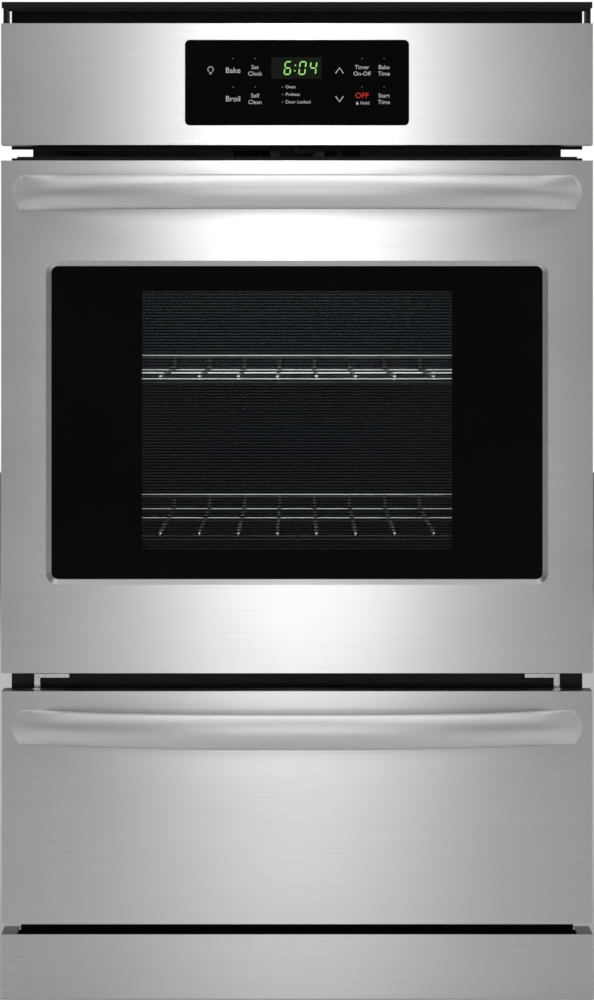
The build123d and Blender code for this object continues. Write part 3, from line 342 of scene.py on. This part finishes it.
def inkFinish(name, tone, glow=0.0):  # printed legend; glow adds emission: a painted glow on the white and red print, the lit segments on the clock digits
    finish, tree, shader = newFinish(name, Roughness=0.5, Emission_Color=tone, Emission_Strength=glow)
    dim = tuple(c * 0.93 for c in tone)
    tree.links.new(ramp(tree, noise(tree, (900, 900, 900)), [(0.3, dim), (0.7, tone)]),
                   shader.inputs["Base Color"])
    return finish


print("stage: studio")
setStudio()

print("stage: finishes")
steel = (0.70, 0.70, 0.70)
finishes = {
    "stainlessDoor": brushedFinish("stainlessDoor", steel),
    "stainlessPanel": brushedFinish("stainlessPanel", (0.71, 0.71, 0.71)),
    # The drawer front and kick panel take the same brushed steel in darker tones: painted shade towards the bottom.
    "stainlessDrawerPaintedShade": brushedFinish("stainlessDrawerPaintedShade", (0.66, 0.66, 0.66)),
    "stainlessKickPaintedShade": brushedFinish("stainlessKickPaintedShade", (0.64, 0.64, 0.64)),
    "galvanised": sheetMetal("galvanised", (0.66, 0.67, 0.68), 170.0, 0.4, 0.07),
    "aluminised": sheetMetal("aluminised", (0.58, 0.58, 0.58), 260.0, 0.36),
    "zinc": sheetMetal("zinc", (0.66, 0.66, 0.63), 700.0, 0.3),
    "brightZinc": sheetMetal("brightZinc", (0.82, 0.82, 0.82), 900.0, 0.25),
    "blackSteel": coated("blackSteel", (0.012, 0.012, 0.013), 0.42, 1500.0),
    "blackTrim": coated("blackTrim", (0.014, 0.014, 0.016), 0.33, 1800.0),
    "cavityEnamel": enamelFinish("cavityEnamel"),
    "floorEnamel": enamelFinish("floorEnamel", (0.018, 0.02, 0.028), (0.3, 0.32, 0.38)),
    "panEnamel": enamelFinish("panEnamel", (0.01, 0.012, 0.02), (0.5, 0.5, 0.55), 0.12),
    "wool": woolFinish("wool", (0.62, 0.56, 0.38)),
    "gasket": woolFinish("gasket", (0.36, 0.35, 0.33)),
    "lampLens": clearGlass("lampLens", (0.96, 0.97, 0.95)),
    "bulb": clearGlass("bulb", (0.95, 0.93, 0.85), 0.25, 0.6),
    "ceramic": coated("ceramic", (0.80, 0.78, 0.72), 0.6, 1200.0),
    "probe": wireFinish("probe", (0.6, 0.6, 0.58), 0.25),
    "burner": sheetMetal("burner", (0.46, 0.44, 0.42), 320.0, 0.5),
    "casting": coated("casting", (0.55, 0.55, 0.56), 0.5, 900.0, 1.0, 0.0006),
    "leverSteel": wireFinish("leverSteel", (0.6, 0.6, 0.56), 0.3),
    "blackIron": coated("blackIron", (0.03, 0.03, 0.03), 0.5, 700.0, 0.4, 0.0005),
    "motor": coated("motor", (0.30, 0.30, 0.31), 0.45, 1100.0, 0.8),
    "wheel": sheetMetal("wheel", (0.7, 0.7, 0.7), 500.0, 0.33),
    "blackPlastic": coated("blackPlastic", (0.02, 0.02, 0.02), 0.45, 1600.0),
    "whitePlastic": coated("whitePlastic", (0.75, 0.75, 0.72), 0.4, 1600.0),
    "panelGlass": blackGlass("panelGlass"),
    "ovenGlass": ovenGlass("ovenGlass"),
    "innerGlass": paneGlass("innerGlass", (0.95, 0.965, 0.96)),
    "board": coated("board", (0.02, 0.16, 0.06), 0.35, 300.0),
    "nylon": coated("nylon", (0.78, 0.78, 0.72), 0.38, 1400.0),
    "rackWire": wireFinish("rackWire"),
    "gridPlate": wireFinish("gridPlate", (0.7, 0.7, 0.72), 0.2),
    "spring": wireFinish("spring", (0.28, 0.27, 0.26), 0.35),
}
wears = {
    "stainlessDoor": ["door_skin"], "stainlessPanel": ["control_panel"], "stainlessDrawerPaintedShade": ["drawer_front"],
    "stainlessKickPaintedShade": ["kick_panel"], "brightZinc": ["corner_brackets", "chassis_screws"],
    "galvanised": ["side_panel_left", "side_panel_right", "back_panel", "top_panel", "base_pan",
                   "blower_housing", "junction_box", "glass_retainer"],
    "aluminised": ["broiler_shield", "flue_duct", "drawer_box"],
    "zinc": ["hinge_arms", "hinge_channels", "slide_channels", "drawer_rails"],
    "blackSteel": ["front_frame", "control_housing", "latch_hook"],
    "blackTrim": ["top_trim", "door_top_trim"], "cavityEnamel": ["oven_liner", "door_liner"],
    "floorEnamel": ["oven_floor"], "panEnamel": ["broiler_pan"],
    "wool": ["insulation_blanket", "door_insulation"], "gasket": ["door_gasket"], "lampLens": ["lamp_lens"],
    "bulb": ["lamp_bulb"], "ceramic": ["lamp_socket", "glow_igniter"], "probe": ["temperature_probe"],
    "burner": ["oven_burner"], "casting": ["gas_valve", "gas_regulator"], "leverSteel": ["shutoff_lever"],
    "blackIron": ["gas_pipe"], "motor": ["blower_motor", "latch_motor"], "wheel": ["blower_wheel"],
    "blackPlastic": ["door_switch"], "whitePlastic": ["switch_plunger"], "panelGlass": ["panel_glass"],
    "ovenGlass": ["door_glass"], "innerGlass": ["inner_glass"], "board": ["control_board"],
    "nylon": ["front_rollers", "rear_rollers"], "rackWire": ["lower_rack", "upper_rack"],
    "gridPlate": ["broiler_grid"], "spring": ["hinge_spring_rods"],
    "stainlessHandlePaintedHighlight": ["door_handle", "drawer_handle"],
}
# The handles take the same brushed steel in a much lighter tone than the door: a painted highlight.
finishes["stainlessHandlePaintedHighlight"] = brushedFinish("stainlessHandlePaintedHighlight", (0.86, 0.86, 0.86), 0.46, aniso=0.3)
for finishName, wearers in wears.items():
    for wearer in wearers:
        material = nodes[wearer].data.materials
        material.clear()
        material.append(finishes[finishName])

for wearer in ("door_skin", "control_panel", "drawer_front", "kick_panel", "corner_brackets"):
    steelSet.objects.link(nodes[wearer])

for wearer in ("side_panel_left", "side_panel_right", "back_panel", "top_panel", "base_pan", "door_liner",
               "gas_pipe", "oven_liner", "oven_floor", "drawer_box", "broiler_pan", "broiler_grid",
               "upper_rack", "lower_rack", "chassis_screws", "inner_glass", "top_trim", "door_top_trim",
               "drawer_rails", "slide_channels"):
    roomSet.objects.link(nodes[wearer])


def meshPiece(name, points, faces, finish, body, smooth=True):
    mesh = bpy.data.meshes.new(name)
    mesh.from_pydata(points.tolist(), [], faces.tolist())
    mesh.polygons.foreach_set("use_smooth", np.full(len(mesh.polygons), smooth))
    mesh.materials.append(finish)
    mesh.update()
    piece = bpy.data.objects.new(name, mesh)
    bpy.context.collection.objects.link(piece)
    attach(piece, body)
    return piece


def ringFaces(rows, columns, closedRows=False):  # quads of a grid whose columns close on themselves
    r, c = np.meshgrid(np.arange(rows if closedRows else rows - 1), np.arange(columns), indexing="ij")
    nextRow, nextColumn = (r + 1) % rows, (c + 1) % columns
    return np.stack([r * columns + c, r * columns + nextColumn, nextRow * columns + nextColumn,
                     nextRow * columns + c], -1).reshape(-1, 4)


def faceOut(piece):  # turn every face outwards with Blender's own recalculation
    work = bmesh.new()
    work.from_mesh(piece.data)
    bmesh.ops.remove_doubles(work, verts=work.verts, dist=1e-6)
    bmesh.ops.recalc_face_normals(work, faces=work.faces)
    work.to_mesh(piece.data)
    work.free()
    piece.data.polygons.foreach_set("use_smooth", np.full(len(piece.data.polygons), True))
    return piece


print("stage: handles")
handleForm = {"power": 2.8, "thick": 0.0115, "crown": 0.0068, "endArc": 0.008, "foot": 0.0016,
              "edge": 0.0008, "clear": 0.0003, "fadeDepth": 0.018, "tipDepth": 0.004, "tipFall": 0.4, "fallShare": 0.62,
              "edgeShare": 0.2, "sharpAngle": 0.5, "rows": 181, "frontPoints": 21}


def makeHandle(name, node, body):
    # Along u: depth = foot + (bow - foot) * (1 - |u|^power). Across s: the outer side falls by crown * s^2
    # to a thin edge, and the back is flat; the length shortens by endArc * s^2, which arches both ends.
    low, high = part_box(node)
    half, tall, bow = (high.x - low.x) / 2, (high.z - low.z) / 2, high.y - low.y
    form = handleForm
    u = np.sin(np.linspace(-np.pi / 2, np.pi / 2, form["rows"]))[:, None]
    front = np.linspace(-1, 1, form["frontPoints"])
    front = np.concatenate([[-1], front * (1 - form["edge"] / tall), [1]])
    across = np.concatenate([front, [1, 0.5, 0, -0.5, -1]])[None, :]
    isBack = np.arange(across.shape[1])[None, :] >= len(front)
    isRim = np.isclose(np.abs(across), 1) & ~isBack
    depth = form["foot"] + (bow - form["clear"] - form["foot"]) * (1 - np.abs(u) ** form["power"])
    thick = np.minimum(form["thick"], depth)
    tip = np.where(depth < form["tipDepth"], form["tipFall"], 1)
    fall = form["crown"] * np.minimum(1, depth / form["fadeDepth"]) * across ** 2 * tip
    rimFall = isRim * np.minimum(form["edge"], thick * form["edgeShare"])
    outer = depth - np.minimum(fall, thick * form["fallShare"]) - rimFall
    x = u * (half - form["endArc"] * across ** 2)
    y = high.y - np.where(isBack, depth - thick, outer)
    z = (low.z + high.z) / 2 + tall * across + 0 * u
    count = across.shape[1]
    points = np.stack([x, y, z], -1).reshape(-1, 3)
    faces = ringFaces(form["rows"], count)
    piece = meshPiece(name, points, faces, finishes["stainlessHandlePaintedHighlight"], body)
    capEnds(piece, count, form["rows"])
    faceOut(piece)
    piece.data.set_sharp_from_angle(angle=form["sharpAngle"])
    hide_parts(node)
    steelSet.objects.link(piece)


def capEnds(piece, around, rows):  # one many-sided face over the first and the last ring
    work = bmesh.new()
    work.from_mesh(piece.data)
    work.verts.ensure_lookup_table()
    for start in (0, around * (rows - 1)):
        work.faces.new([work.verts[start + i] for i in range(around)])
    work.to_mesh(piece.data)
    work.free()


makeHandle("doorHandleBar", "door_handle", "oven_door")
makeHandle("drawerHandleBar", "drawer_handle", "broiler_drawer")

print("stage: gasket")
gasketForm = {"wide": 0.0100, "deep": 0.0036, "corner": 0.016, "weave": 0.0035, "relief": 0.05,
              "twist": 3, "stations": 1400, "around": 20}


def makeGasket():
    # A rounded rectangle path carries an oval section; its radius ripples with the weave.
    low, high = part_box("door_gasket")
    form = gasketForm
    inset = form["wide"] / 2
    halfX, halfZ = (high.x - low.x) / 2 - inset, (high.z - low.z) / 2 - inset
    corner = form["corner"] - inset
    runs = [2 * (halfX - corner), np.pi / 2 * corner, 2 * (halfZ - corner), np.pi / 2 * corner]
    edges = np.concatenate([[0], np.cumsum(runs * 2)])
    s = np.linspace(0, edges[-1], form["stations"], endpoint=False)
    leg = np.searchsorted(edges, s, side="right") - 1
    t = s - edges[leg]
    quarter = leg // 2
    isArc = leg % 2 == 1
    spin = quarter * np.pi / 2
    along = np.where(isArc, 0, t - np.where(quarter % 2 == 0, halfX - corner, halfZ - corner))
    sideOut = np.where(quarter % 2 == 0, halfZ, halfX)
    sideRun = np.where(quarter % 2 == 0, halfX, halfZ) - corner
    arcTurn = np.where(isArc, t / corner, 0)
    px = np.where(isArc, sideRun + corner * np.sin(arcTurn), along)
    pz = np.where(isArc, -(sideOut - corner) - corner * np.cos(arcTurn), -sideOut)
    x = px * np.cos(spin) - pz * np.sin(spin)
    z = px * np.sin(spin) + pz * np.cos(spin)
    heading = spin + arcTurn
    outX, outZ = np.sin(heading), -np.cos(heading)
    turn = np.linspace(0, 2 * np.pi, form["around"], endpoint=False)[None, :]
    weave = np.sin(2 * np.pi * s[:, None] / form["weave"] + form["twist"] * turn)
    ripple = 1 - form["relief"] * (1 + weave) / 2
    wide = form["wide"] / 2 * np.cos(turn) * ripple
    deep = form["deep"] / 2 * np.sin(turn) * ripple
    points = np.stack([(low.x + high.x) / 2 + x[:, None] + outX[:, None] * wide,
                       (low.y + high.y) / 2 + deep + 0 * s[:, None],
                       (low.z + high.z) / 2 + z[:, None] + outZ[:, None] * wide], -1).reshape(-1, 3)
    faces = ringFaces(len(s), form["around"], True)
    piece = faceOut(meshPiece("doorSealBraid", points, faces, finishes["gasket"], "carcass"))
    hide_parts("door_gasket")


makeGasket()

print("stage: control legends")
legend = {"lift": 0.00012, "thick": 0.00010, "keyTall": 0.0080, "smallTall": 0.0060, "tinyTall": 0.0047,
          "rowTop": 0.0123, "rowLow": -0.0168, "lineStep": 0.0033,
          "columns": {"lamp": -0.0885, "first": -0.0655, "second": -0.0430, "arrows": 0.0435,
                      "third": 0.0665, "fourth": 0.0891},
          "displayX": -0.0005, "displayZ": 0.0149, "displayWide": 0.0514, "displayTall": 0.0220,
          "digitTall": 0.0142, "digitWide": 0.0073, "digitBar": 0.0014, "digitGap": 0.0002, "lean": 0.12,
          "digits": (("6", -0.0095), ("0", 0.0056), ("4", 0.0166)), "curveSteps": 3,
          "holdRight": 0.0030, "holdDown": 0.0042, "dotHalf": 0.0003, "dotTop": 0.0246, "stateLeft": -0.0118,
          "stateTop": -0.0045, "stateStep": 0.0077, "stateDotLeft": -0.0152, "stateDotRight": -0.0144}
arrowForm = {"half": 0.0040, "rise": 0.0028, "line": 0.0009}
lampForm = {"radius": 0.0028, "up": 0.0012, "line": 0.0006, "start": -55, "end": 235,
            "threads": ((0.0015, 0.0022), (0.0011, 0.0034))}
lockForm = {"left": 0.0048, "down": 0.0046, "half": 0.0011, "top": 0.0005, "shackle": 0.0008, "tall": 0.0009,
            "foot": 0.0007, "line": 0.0004}
colonForm = {"rise": 0.0028, "x": -0.0020, "half": 0.0007, "lift": 0.0001}
# The printed white and red legends get a faint emission though nothing lights them: a painted glow.
finishes["whiteInkPaintedGlow"] = inkFinish("whiteInkPaintedGlow", (0.80, 0.80, 0.80), 0.25)
finishes["redInkPaintedGlow"] = inkFinish("redInkPaintedGlow", (0.75, 0.06, 0.04), 0.3)
finishes["digitGlow"] = inkFinish("digitGlow", (0.28, 0.62, 0.16), 0.9)
finishes["displayTint"] = coated("displayTint", (0.012, 0.017, 0.010), 0.12, 60.0, 0.0, 0.00001)
glassLow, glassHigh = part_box("panel_glass")
glassMid = (glassLow + glassHigh) / 2
printY = glassLow.y - legend["lift"]


def plate(x0, x1, z0, z1, lift=0.0):  # a thin slab on the glass
    y0, y1 = printY - lift - legend["thick"], printY - lift + legend["lift"] * 0.5
    corners = np.array([(x, y, z) for y in (y0, y1) for z in (z0, z1) for x in (x0, x1)])
    corners += np.array([glassMid.x, 0, glassMid.z])
    faces = np.array([(0, 1, 3, 2), (4, 6, 7, 5), (0, 4, 5, 1), (2, 3, 7, 6), (0, 2, 6, 4), (1, 5, 7, 3)])
    return corners, faces


def joinPlates(name, plates, finish):  # one piece of several shapes, each given as its points and faces
    points = np.concatenate([shape[0] for shape in plates])
    starts = np.cumsum([0] + [len(shape[0]) for shape in plates[:-1]])
    faces = np.concatenate([shape[1] + start for shape, start in zip(plates, starts)])
    piece = faceOut(meshPiece(name, points, faces, finish, "carcass", False))
    piece.data.polygons.foreach_set("use_smooth", np.full(len(piece.data.polygons), False))
    return piece


def word(name, text, x, z, tall, finish, align="CENTER"):  # lettering as a mesh that stands on the glass
    curve = bpy.data.curves.new(name, "FONT")
    curve.body, curve.size, curve.align_x, curve.align_y = text, tall, align, "CENTER"
    curve.extrude = legend["thick"] / 2
    curve.resolution_u = legend["curveSteps"]
    holder = bpy.data.objects.new(name + "Curve", curve)
    bpy.context.collection.objects.link(holder)
    mesh = bpy.data.meshes.new_from_object(holder.evaluated_get(bpy.context.evaluated_depsgraph_get()))
    bpy.data.objects.remove(holder)
    bpy.data.curves.remove(curve)
    count = len(mesh.vertices)
    flat = np.empty(count * 3)
    mesh.vertices.foreach_get("co", flat)
    flat = flat.reshape(-1, 3)
    placed = np.stack([glassMid.x + x + flat[:, 0], printY - flat[:, 2], glassMid.z + z + flat[:, 1]], -1)
    mesh.vertices.foreach_set("co", placed.ravel())
    mesh.materials.clear()
    mesh.materials.append(finish)
    mesh.name = name
    work = bmesh.new()
    work.from_mesh(mesh)
    bmesh.ops.remove_doubles(work, verts=work.verts, dist=1e-7)
    bmesh.ops.recalc_face_normals(work, faces=work.faces)
    work.to_mesh(mesh)
    work.free()
    piece = bpy.data.objects.new(name, mesh)
    bpy.context.collection.objects.link(piece)
    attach(piece, "carcass")
    return piece


column = legend["columns"]
top, low = legend["rowTop"], legend["rowLow"]
step = legend["lineStep"]
word("legendBake", "Bake", column["first"], top, legend["keyTall"], finishes["whiteInkPaintedGlow"])
word("legendBroil", "Broil", column["first"], low, legend["keyTall"], finishes["whiteInkPaintedGlow"])
for wordName, upper, lower, x, z in (
    ("Clock", "Set", "Clock", column["second"], top), ("Clean", "Self", "Clean", column["second"], low),
    ("Timer", "Timer", "On-Off", column["third"], top), ("CookTime", "Bake", "Time", column["fourth"], top),
    ("StartTime", "Start", "Time", column["fourth"], low),
):
    word("legendUpper" + wordName, upper, x, z + step, legend["smallTall"], finishes["whiteInkPaintedGlow"])
    word("legendLower" + wordName, lower, x, z - step, legend["smallTall"], finishes["whiteInkPaintedGlow"])
word("legendOff", "OFF", column["third"], low + step, legend["keyTall"], finishes["redInkPaintedGlow"])
word("legendHold", "Hold", column["third"] + legend["holdRight"], low - legend["holdDown"],
     legend["tinyTall"], finishes["whiteInkPaintedGlow"])
for index, state in enumerate(("Oven", "Preheat", "Door Locked")):
    word("state" + state.replace(" ", ""), state, legend["stateLeft"],
         legend["stateTop"] - legend["stateStep"] * index, legend["tinyTall"], finishes["whiteInkPaintedGlow"], "LEFT")

dots = []
dotHalf = legend["dotHalf"]
for x in (column["first"], column["second"], column["third"], column["fourth"]):
    for z in (legend["dotTop"], legend["stateTop"]):
        dots.append(plate(x - dotHalf, x + dotHalf, z - dotHalf, z + dotHalf))
for index in range(3):
    z = legend["stateTop"] - legend["stateStep"] * index
    dots.append(plate(legend["stateDotLeft"], legend["stateDotRight"], z - dotHalf, z + dotHalf))
joinPlates("indicatorDots", dots, finishes["whiteInkPaintedGlow"])


def stroke(points, width):  # a flat ribbon of even width along points in the glass plane
    line = np.array(points, float)
    ahead = np.vstack([line[1:], line[-1:]])
    behind = np.vstack([line[:1], line[:-1]])
    heading = ahead - behind
    heading /= np.linalg.norm(heading, axis=1)[:, None]
    side = np.stack([-heading[:, 1], heading[:, 0]], -1) * width / 2
    left, right = line + side, line - side
    rows = []
    for y in (printY - legend["thick"], printY + legend["lift"] * 0.5):
        for edge in (left, right):
            flat = np.full(len(line), y)
            rows.append(np.stack([glassMid.x + edge[:, 0], flat, glassMid.z + edge[:, 1]], -1))
    count = len(line)
    ordered = np.stack([rows[0], rows[1], rows[3], rows[2]], 1).reshape(-1, 3)
    last = (count - 1) * 4
    ends = [(0, 1, 2, 3), (last, last + 3, last + 2, last + 1)]
    faces = np.concatenate([ringFaces(count, 4), ends])
    return ordered, faces


chevrons = []
for z, way in ((top, 1), (low, -1)):
    foot, peak = z - way * arrowForm["rise"], z + way * arrowForm["rise"]
    chevrons.append(stroke([(column["arrows"] - arrowForm["half"], foot), (column["arrows"], peak),
                            (column["arrows"] + arrowForm["half"], foot)], arrowForm["line"]))
joinPlates("arrowMarks", chevrons, finishes["whiteInkPaintedGlow"])

bulbTurn = np.radians(np.linspace(lampForm["start"], lampForm["end"], 24))
bulbRound = np.stack([column["lamp"] + lampForm["radius"] * np.cos(bulbTurn),
                      top + lampForm["up"] + lampForm["radius"] * np.sin(bulbTurn)], -1)
bulbMark = [stroke(bulbRound, lampForm["line"])]
for half, down in lampForm["threads"]:
    bulbMark.append(stroke([(column["lamp"] - half, top - down), (column["lamp"] + half, top - down)],
                           lampForm["line"]))
joinPlates("lampMark", bulbMark, finishes["whiteInkPaintedGlow"])

lockX, lockZ = column["third"] - lockForm["left"], low - lockForm["down"]
lockTurn = np.radians(np.linspace(0, 180, 12))
shackle = np.stack([lockX + lockForm["shackle"] * np.cos(lockTurn),
                    lockZ + lockForm["foot"] + lockForm["tall"] * np.sin(lockTurn)], -1)
lockBody = plate(lockX - lockForm["half"], lockX + lockForm["half"], lockZ - lockForm["half"],
                 lockZ + lockForm["top"])
joinPlates("lockMark", [lockBody, stroke(shackle, lockForm["line"])], finishes["whiteInkPaintedGlow"])

halfWide, halfTall = legend["displayWide"] / 2, legend["displayTall"] / 2
joinPlates("displayWindow", [plate(legend["displayX"] - halfWide, legend["displayX"] + halfWide,
                                   legend["displayZ"] - halfTall, legend["displayZ"] + halfTall)],
           finishes["displayTint"])
segments = {"6": "acdefg", "0": "abcdef", "4": "bcfg"}


def digit(sign, x):  # seven leaning bars; each is a hexagon of the digit's height and width
    wide, bar, gap = legend["digitWide"], legend["digitBar"], legend["digitGap"]
    z = legend["displayZ"]
    half = legend["digitTall"] / 2
    flat = {"a": half - bar / 2, "g": 0.0, "d": -half + bar / 2}
    upright = {"f": (-1, 1), "b": (1, 1), "e": (-1, -1), "c": (1, -1)}
    shapes = []
    for name in segments[sign]:
        if name in flat:
            h = flat[name]
            tip, shoulder = wide / 2 - gap - bar / 2, wide / 2 - gap - bar
            outline = [(-tip, h), (-shoulder, h + bar / 2), (shoulder, h + bar / 2), (tip, h),
                       (shoulder, h - bar / 2), (-shoulder, h - bar / 2)]
        else:
            sx, sz = upright[name]
            cx = sx * (wide / 2 - bar / 2)
            z0, z1 = sorted((sz * (gap + bar * 0.4), sz * (half - gap - bar * 0.6)))
            outline = [(cx, z0), (cx + bar / 2, z0 + bar / 2), (cx + bar / 2, z1 - bar / 2), (cx, z1),
                       (cx - bar / 2, z1 - bar / 2), (cx - bar / 2, z0 + bar / 2)]
        ring = np.array(outline)
        sheared = np.stack([glassMid.x + x + ring[:, 0] + legend["lean"] * ring[:, 1], 0 * ring[:, 0],
                            glassMid.z + z + ring[:, 1]], -1)
        front, back = sheared.copy(), sheared.copy()
        front[:, 1], back[:, 1] = printY - 2.2 * legend["thick"], printY - 0.6 * legend["thick"]
        n = len(ring)
        faces = [[i, (i + 1) % n, (i + 1) % n + n, i + n] for i in range(n)]
        caps = [[0, 1, 2, 3], [0, 3, 4, 5], [n, n + 3, n + 2, n + 1], [n, n + 5, n + 4, n + 3]]
        shapes.append((np.concatenate([front, back]), np.array(faces + caps)))
    return shapes


bars = []
for sign, x in legend["digits"]:
    bars += digit(sign, x)
for rise in (-colonForm["rise"], colonForm["rise"]):
    z = legend["displayZ"] + rise
    x = colonForm["x"] + legend["lean"] * rise
    half = colonForm["half"]
    bars.append(plate(x - half, x + half, z - half, z + half, colonForm["lift"]))
joinPlates("clockDigits", bars, finishes["digitGlow"])

print("stage: sizes")
